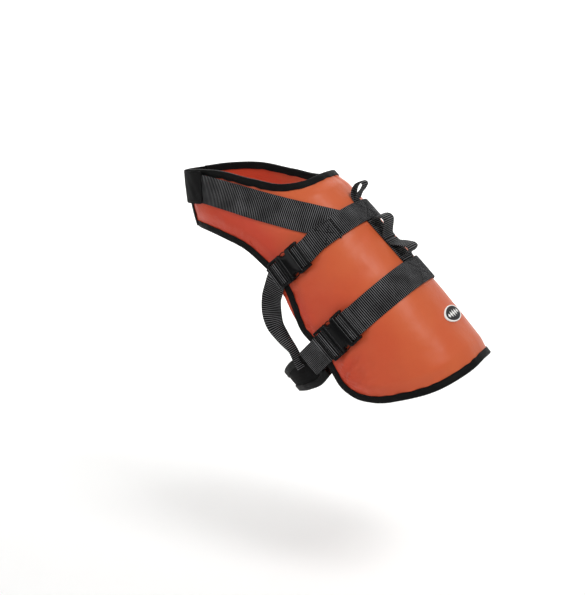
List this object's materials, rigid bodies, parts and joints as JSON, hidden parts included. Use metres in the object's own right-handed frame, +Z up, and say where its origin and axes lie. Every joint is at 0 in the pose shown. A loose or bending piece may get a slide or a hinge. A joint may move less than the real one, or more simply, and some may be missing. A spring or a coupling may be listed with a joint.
{
  "type": "dog life jacket",
  "caption": "Foam-filled orange dog life jacket, closed as worn, with black binding, webbing girth straps with side-release buckles, spine handles, a chest closure and a belly panel.",
  "frame": {"origin": "the back panel's inner face over the spine, at the middle of the front girth strap, where the jacket rests on the wearer's back", "axes": "+Z up, the wearer faces -Y and its left side is +X; the spine climbs forwards at 45 degrees, as on a sitting dog"},
  "size_m": [0.261, 0.5857, 0.4135],
  "materials": {
    "orange_coated_nylon": "smooth coated cloth over closed-cell foam, slight sheen",
    "black_webbing": "ribbed nylon webbing, matte",
    "black_binding_tape": "woven binding tape, matte",
    "black_closure": "smooth backed hook-and-loop tape, matte",
    "black_belly_cloth": "padded mesh cloth, matte",
    "black_acetal": "moulded acetal, satin",
    "badge_rubber": "soft moulded patch, matte, with a raised white rim and motif"
  },
  "bodies": {
    "root": {"back_panel": "orange_coated_nylon", "badge": "badge_rubber", "belly_binding_front": "black_binding_tape", "belly_binding_left": "black_binding_tape", "belly_binding_rear": "black_binding_tape", "belly_binding_right": "black_binding_tape", "belly_panel": "black_belly_cloth", "binding_armhole_left": "black_binding_tape", "binding_armhole_right": "black_binding_tape", "binding_flap_left": "black_binding_tape", "binding_flap_right": "black_binding_tape", "binding_hem": "black_binding_tape", "binding_neck": "black_binding_tape", "chest_closure": "black_closure", "front_buckle_plug": "black_acetal", "front_buckle_socket": "black_acetal", "front_girth_strap": "black_webbing", "front_lower_strap": "black_webbing", "front_tab_loop": "black_webbing", "handle_front": "black_webbing", "handle_rear": "black_webbing", "neck_strap_left": "black_webbing", "neck_strap_right": "black_webbing", "rear_buckle_plug": "black_acetal", "rear_buckle_socket": "black_acetal", "rear_girth_strap": "black_webbing", "rear_lower_strap": "black_webbing", "spine_band": "black_webbing"}
  },
  "joints": []
}
